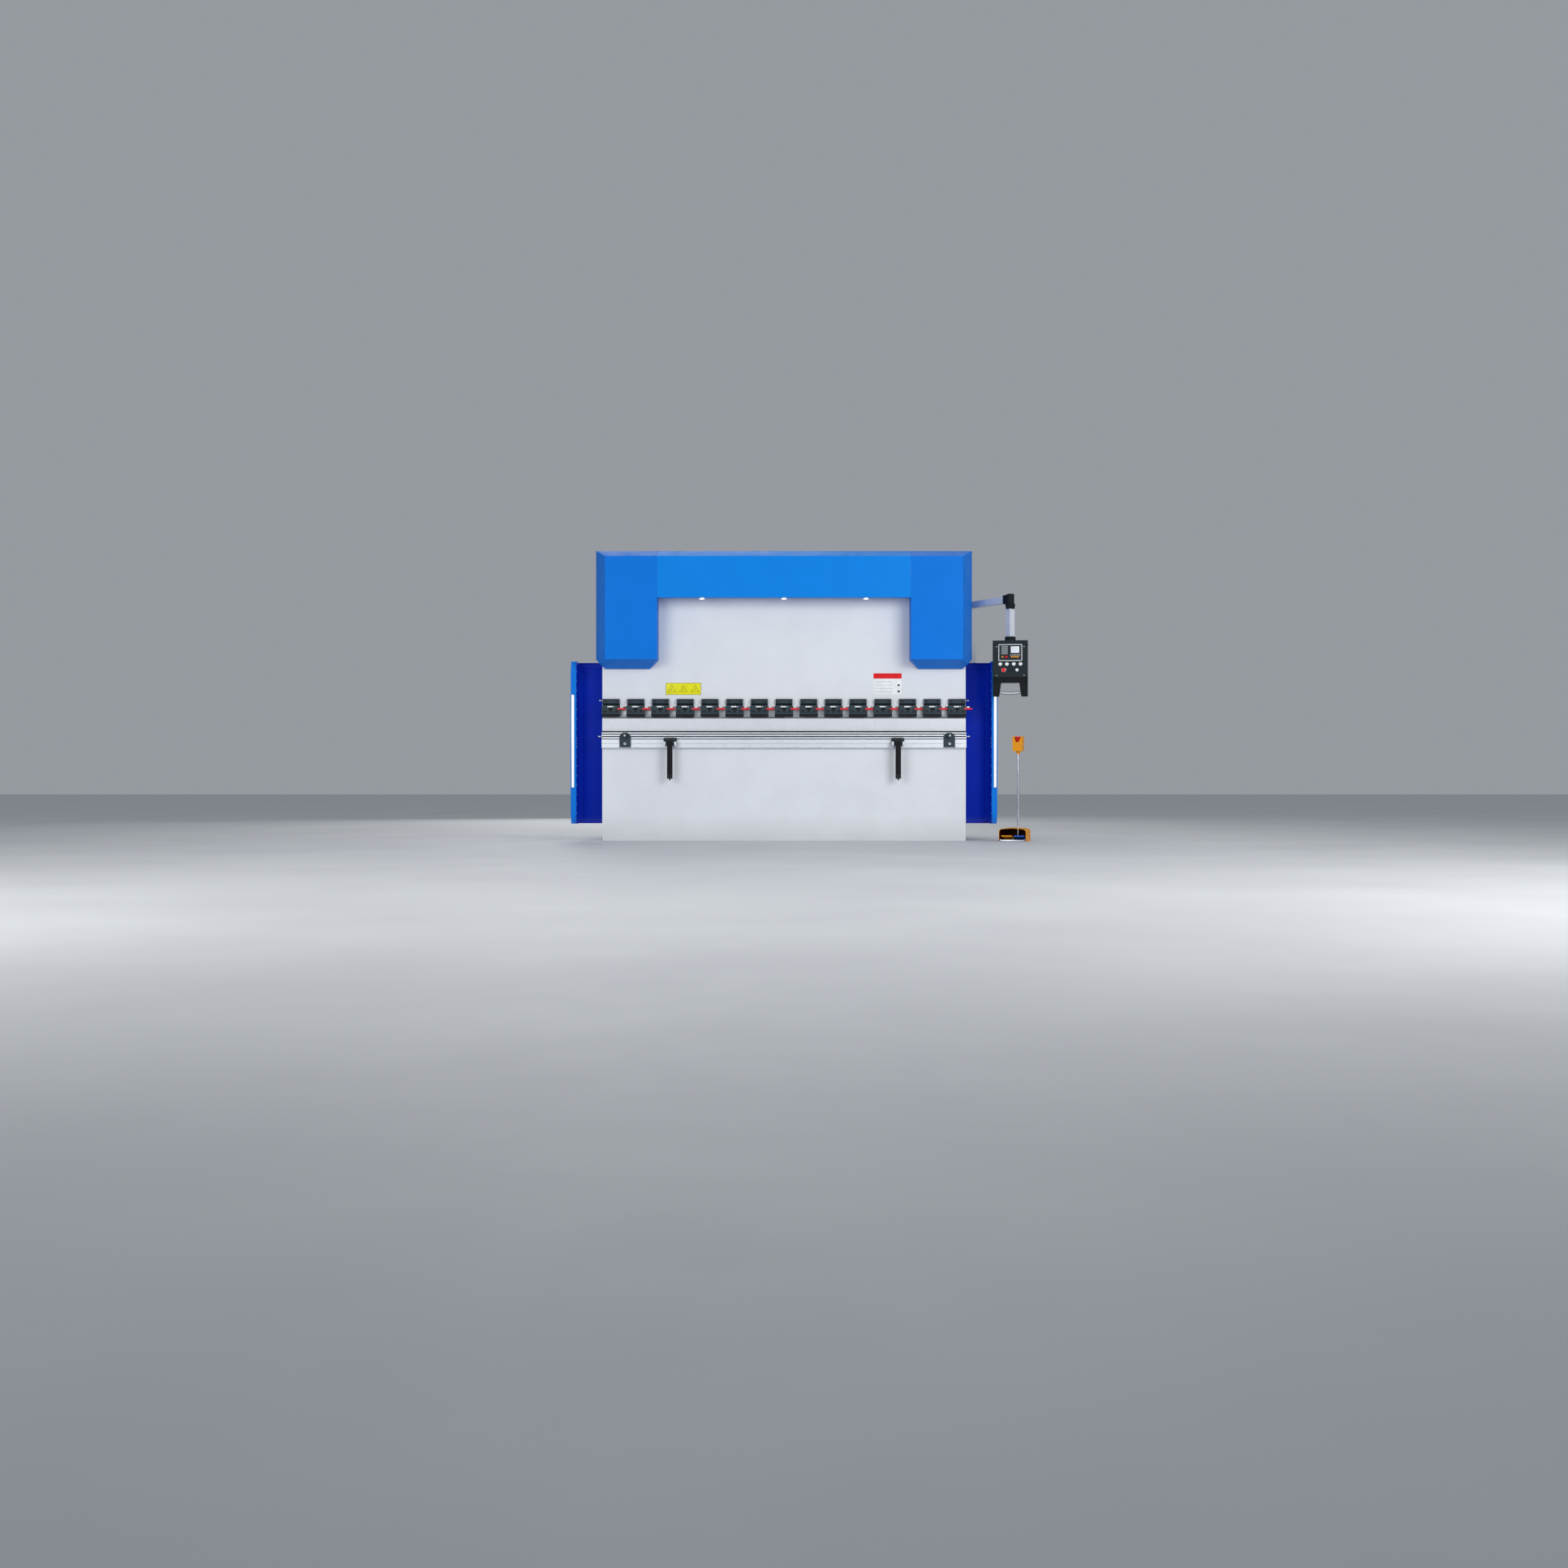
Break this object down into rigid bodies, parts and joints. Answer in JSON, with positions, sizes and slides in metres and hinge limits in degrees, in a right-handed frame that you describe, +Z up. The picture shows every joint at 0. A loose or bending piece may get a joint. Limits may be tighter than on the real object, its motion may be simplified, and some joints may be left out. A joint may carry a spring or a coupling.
{
  "type": "press brake",
  "caption": "Hydraulic press brake with clamped punches, hinged side guards, sheet supports, back gauge, swing-arm pendant and foot station.",
  "frame": {"origin": "On the floor under the middle of the bend line, at the centre of the bed plate's lower face.", "axes": "+X runs along the bend line to the operator's right, +Y runs from the operator to the back of the machine, +Z up."},
  "size_m": [4.0253, 1.4482, 2.55],
  "materials": {
    "frame_paint": "satin",
    "cover_paint": "satin",
    "bed_paint": "satin",
    "dark_steel": "satin",
    "bright_steel": "brushed",
    "rail_aluminium": "satin",
    "guide_bronze": "satin",
    "lamp_white": "gloss",
    "cabinet_paint": "satin",
    "pendant_plastic": "matte",
    "button_white": "gloss",
    "signal_red": "gloss",
    "station_amber": "satin",
    "pedal_blue": "matte",
    "finger_yellow": "satin"
  },
  "bodies": {
    "machine": {"side_frame_left": "frame_paint", "side_frame_right": "frame_paint", "bed_plate": "bed_paint", "anchor_pads": "frame_paint", "rear_tie_beams": "frame_paint", "oil_tank": "frame_paint", "pump_motor": "dark_steel", "valve_blocks": "bright_steel", "cylinder_barrels": "dark_steel", "hoods": "cover_paint", "front_fascia": "cover_paint", "work_lamps": "lamp_white", "guide_rails": "bright_steel", "front_rail": "rail_aluminium", "lower_die": "bright_steel", "gauge_guides": "bright_steel", "cabinet_body": "cabinet_paint", "pendant_post": "dark_steel", "guard_posts": "frame_paint", "rail_stops": "dark_steel"},
    "ram": {"ram": "bed_paint", "piston_rods": "bright_steel", "guide_shoes": "guide_bronze", "clamp_adapters": "dark_steel", "clamp_jaws": "dark_steel", "clamp_bolts": "bright_steel", "punches": "bright_steel"},
    "clamp_lever_01": {"clamp_lever_01": "signal_red"},
    "clamp_lever_02": {"clamp_lever_02": "signal_red"},
    "clamp_lever_03": {"clamp_lever_03": "signal_red"},
    "clamp_lever_04": {"clamp_lever_04": "signal_red"},
    "clamp_lever_05": {"clamp_lever_05": "signal_red"},
    "clamp_lever_06": {"clamp_lever_06": "signal_red"},
    "clamp_lever_07": {"clamp_lever_07": "signal_red"},
    "clamp_lever_08": {"clamp_lever_08": "signal_red"},
    "clamp_lever_09": {"clamp_lever_09": "signal_red"},
    "clamp_lever_10": {"clamp_lever_10": "signal_red"},
    "clamp_lever_11": {"clamp_lever_11": "signal_red"},
    "clamp_lever_12": {"clamp_lever_12": "signal_red"},
    "clamp_lever_13": {"clamp_lever_13": "signal_red"},
    "clamp_lever_14": {"clamp_lever_14": "signal_red"},
    "clamp_lever_15": {"clamp_lever_15": "signal_red"},
    "guard_left": {"guard_left": "cover_paint"},
    "guard_right": {"guard_right": "cover_paint"},
    "support_slide_left": {"support_slide_left": "dark_steel"},
    "support_slide_right": {"support_slide_right": "dark_steel"},
    "support_arm_left": {"support_arm_left": "dark_steel"},
    "support_arm_right": {"support_arm_right": "dark_steel"},
    "pendant_arm": {"pendant_arm": "rail_aluminium"},
    "pendant_case": {"pendant_case": "pendant_plastic"},
    "pendant_buttons": {"pendant_buttons": "button_white"},
    "pendant_stop_button": {"pendant_stop_button": "signal_red"},
    "station_pedal_left": {"station_pedal_left": "station_amber"},
    "station_pedal_right": {"station_pedal_right": "pedal_blue"},
    "station_stop_button": {"station_stop_button": "signal_red"},
    "gauge_beam": {"gauge_beam": "rail_aluminium"},
    "gauge_finger_left": {"gauge_finger_left": "finger_yellow"},
    "gauge_finger_right": {"gauge_finger_right": "finger_yellow"},
    "cabinet_door": {"cabinet_door": "cabinet_paint"},
    "foot_station": {"station_case": "station_amber"}
  },
  "joints": [
    {"name": "ram_stroke", "type": "slide", "parent": "machine", "child": "ram", "axis": [0, 0, 1], "range_m": [0, 0.15]},
    {"name": "lever_01_lift", "type": "hinge", "parent": "ram", "child": "clamp_lever_01", "pos_m": [-1.4531, -0.085, 1.159], "axis": [0, -1, 0], "range_deg": [0, 80]},
    {"name": "lever_02_lift", "type": "hinge", "parent": "ram", "child": "clamp_lever_02", "pos_m": [-1.2358, -0.085, 1.159], "axis": [0, -1, 0], "range_deg": [0, 80]},
    {"name": "lever_03_lift", "type": "hinge", "parent": "ram", "child": "clamp_lever_03", "pos_m": [-1.0185, -0.085, 1.159], "axis": [0, -1, 0], "range_deg": [0, 80]},
    {"name": "lever_04_lift", "type": "hinge", "parent": "ram", "child": "clamp_lever_04", "pos_m": [-0.8012, -0.085, 1.159], "axis": [0, -1, 0], "range_deg": [0, 80]},
    {"name": "lever_05_lift", "type": "hinge", "parent": "ram", "child": "clamp_lever_05", "pos_m": [-0.5839, -0.085, 1.159], "axis": [0, -1, 0], "range_deg": [0, 80]},
    {"name": "lever_06_lift", "type": "hinge", "parent": "ram", "child": "clamp_lever_06", "pos_m": [-0.3666, -0.085, 1.159], "axis": [0, -1, 0], "range_deg": [0, 80]},
    {"name": "lever_07_lift", "type": "hinge", "parent": "ram", "child": "clamp_lever_07", "pos_m": [-0.1493, -0.085, 1.159], "axis": [0, -1, 0], "range_deg": [0, 80]},
    {"name": "lever_08_lift", "type": "hinge", "parent": "ram", "child": "clamp_lever_08", "pos_m": [0.068, -0.085, 1.159], "axis": [0, -1, 0], "range_deg": [0, 80]},
    {"name": "lever_09_lift", "type": "hinge", "parent": "ram", "child": "clamp_lever_09", "pos_m": [0.2853, -0.085, 1.159], "axis": [0, -1, 0], "range_deg": [0, 80]},
    {"name": "lever_10_lift", "type": "hinge", "parent": "ram", "child": "clamp_lever_10", "pos_m": [0.5026, -0.085, 1.159], "axis": [0, -1, 0], "range_deg": [0, 80]},
    {"name": "lever_11_lift", "type": "hinge", "parent": "ram", "child": "clamp_lever_11", "pos_m": [0.7199, -0.085, 1.159], "axis": [0, -1, 0], "range_deg": [0, 80]},
    {"name": "lever_12_lift", "type": "hinge", "parent": "ram", "child": "clamp_lever_12", "pos_m": [0.9372, -0.085, 1.159], "axis": [0, -1, 0], "range_deg": [0, 80]},
    {"name": "lever_13_lift", "type": "hinge", "parent": "ram", "child": "clamp_lever_13", "pos_m": [1.1545, -0.085, 1.159], "axis": [0, -1, 0], "range_deg": [0, 80]},
    {"name": "lever_14_lift", "type": "hinge", "parent": "ram", "child": "clamp_lever_14", "pos_m": [1.3718, -0.085, 1.159], "axis": [0, -1, 0], "range_deg": [0, 80]},
    {"name": "lever_15_lift", "type": "hinge", "parent": "ram", "child": "clamp_lever_15", "pos_m": [1.5891, -0.085, 1.159], "axis": [0, -1, 0], "range_deg": [0, 80]},
    {"name": "guard_left_swing", "type": "hinge", "parent": "machine", "child": "guard_left", "pos_m": [-1.6, 0.14, 0.8], "axis": [0, 0, -1], "range_deg": [0, 90]},
    {"name": "guard_right_swing", "type": "hinge", "parent": "machine", "child": "guard_right", "pos_m": [1.6, 0.14, 0.8], "axis": [0, 0, 1], "range_deg": [0, 90]},
    {"name": "support_left_travel", "type": "slide", "parent": "machine", "child": "support_slide_left", "axis": [1, 0, 0], "range_m": [-0.25, 0.85]},
    {"name": "support_right_travel", "type": "slide", "parent": "machine", "child": "support_slide_right", "axis": [-1, 0, 0], "range_m": [-0.25, 0.85]},
    {"name": "support_left_fold", "type": "hinge", "parent": "support_slide_left", "child": "support_arm_left", "pos_m": [-0.998, -0.15, 0.89], "axis": [-1, 0, 0], "range_deg": [0, 90]},
    {"name": "support_right_fold", "type": "hinge", "parent": "support_slide_right", "child": "support_arm_right", "pos_m": [0.998, -0.15, 0.89], "axis": [-1, 0, 0], "range_deg": [0, 90]},
    {"name": "pendant_arm_swing", "type": "hinge", "parent": "machine", "child": "pendant_arm", "pos_m": [1.54, 0.424, 2.101], "axis": [0, 0, 1], "range_deg": [0, 45]},
    {"name": "pendant_swivel", "type": "hinge", "parent": "pendant_arm", "child": "pendant_case", "pos_m": [1.96129, -0.2502, 1.8], "axis": [0, 0, 1], "range_deg": [-30, 30]},
    {"name": "pendant_buttons_press", "type": "slide", "parent": "pendant_case", "child": "pendant_buttons", "axis": [0.1392, 0.9903, 0], "range_m": [0, 0.004], "stiffness_N_per_m": 500, "springref_m": -0.002},
    {"name": "pendant_stop_press", "type": "slide", "parent": "pendant_case", "child": "pendant_stop_button", "axis": [0.1392, 0.9903, 0], "range_m": [0, 0.004], "stiffness_N_per_m": 600, "springref_m": -0.002},
    {"name": "foot_station_move", "type": "slide", "parent": "machine", "child": "foot_station", "axis": [0, -1, 0], "range_m": [0, 0.6]},
    {"name": "pedal_left_press", "type": "hinge", "parent": "foot_station", "child": "station_pedal_left", "pos_m": [1.972, -0.1236, 0.022], "axis": [0.9397, -0.342, 0], "range_deg": [0, 8], "stiffness_Nm_per_rad": 8, "springref_deg": -14.32},
    {"name": "pedal_right_press", "type": "hinge", "parent": "foot_station", "child": "station_pedal_right", "pos_m": [2.07536, -0.16122, 0.022], "axis": [0.9397, -0.342, 0], "range_deg": [0, 8], "stiffness_Nm_per_rad": 8, "springref_deg": -14.32},
    {"name": "station_stop_press", "type": "slide", "parent": "foot_station", "child": "station_stop_button", "axis": [0, 0, -1], "range_m": [0, 0.006], "stiffness_N_per_m": 900, "springref_m": -0.006},
    {"name": "gauge_depth", "type": "slide", "parent": "machine", "child": "gauge_beam", "axis": [0, 1, 0], "range_m": [0, 0.35]},
    {"name": "finger_left_travel", "type": "slide", "parent": "gauge_beam", "child": "gauge_finger_left", "axis": [1, 0, 0], "range_m": [-0.035, 1]},
    {"name": "finger_right_travel", "type": "slide", "parent": "gauge_beam", "child": "gauge_finger_right", "axis": [-1, 0, 0], "range_m": [-0.035, 1]},
    {"name": "cabinet_door_swing", "type": "hinge", "parent": "machine", "child": "cabinet_door", "pos_m": [1.7468, 1.062, 1.2], "axis": [0, 0, 1], "range_deg": [0, 110]}
  ]
}
